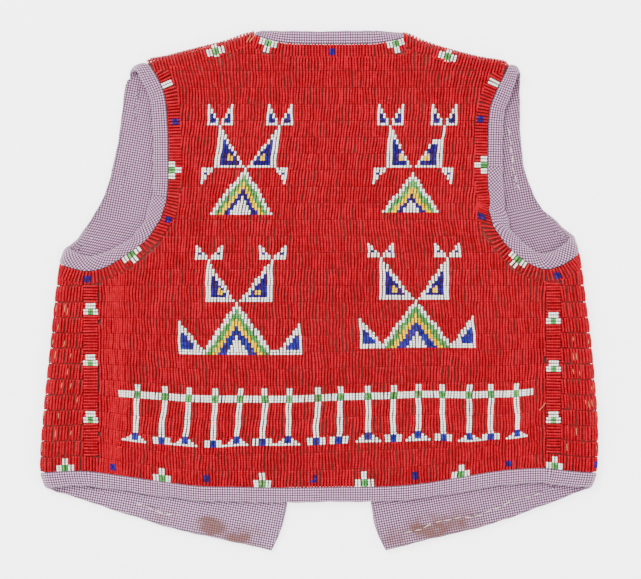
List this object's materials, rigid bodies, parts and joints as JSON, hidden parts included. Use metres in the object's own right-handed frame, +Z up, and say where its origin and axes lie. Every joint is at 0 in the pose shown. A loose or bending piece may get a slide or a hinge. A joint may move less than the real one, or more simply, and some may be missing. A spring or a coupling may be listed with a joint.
{
  "type": "child's beaded hide vest",
  "caption": "Sleeveless child's vest of hide covered in lanes of red glass seed beads, lined with check cotton, laid flat with its back uppermost.",
  "frame": {"origin": "centre of the vest's outline, on the surface that it lies on", "axes": "+X across the vest to the right as seen from above, +Y from hem to neck, +Z up out of the back panel"},
  "size_m": [0.3356, 0.3141, 0.012],
  "materials": {
    "glass_beads": "opaque red glass seed beads with white, green, yellow and blue motifs, glossy",
    "gingham": "small lilac and white check cotton, matte",
    "hide": "tanned hide under the beads, matte"
  },
  "bodies": {
    "root": {"back_panel": "glass_beads", "front_left": "glass_beads", "front_right": "glass_beads", "side_strip_left": "glass_beads", "side_strip_right": "glass_beads", "front_lining_left": "gingham", "front_lining_right": "gingham", "neck_binding": "gingham", "hem_binding": "gingham", "armhole_binding_left": "gingham", "armhole_binding_right": "gingham", "front_binding_left": "gingham", "front_binding_right": "gingham"}
  },
  "joints": []
}
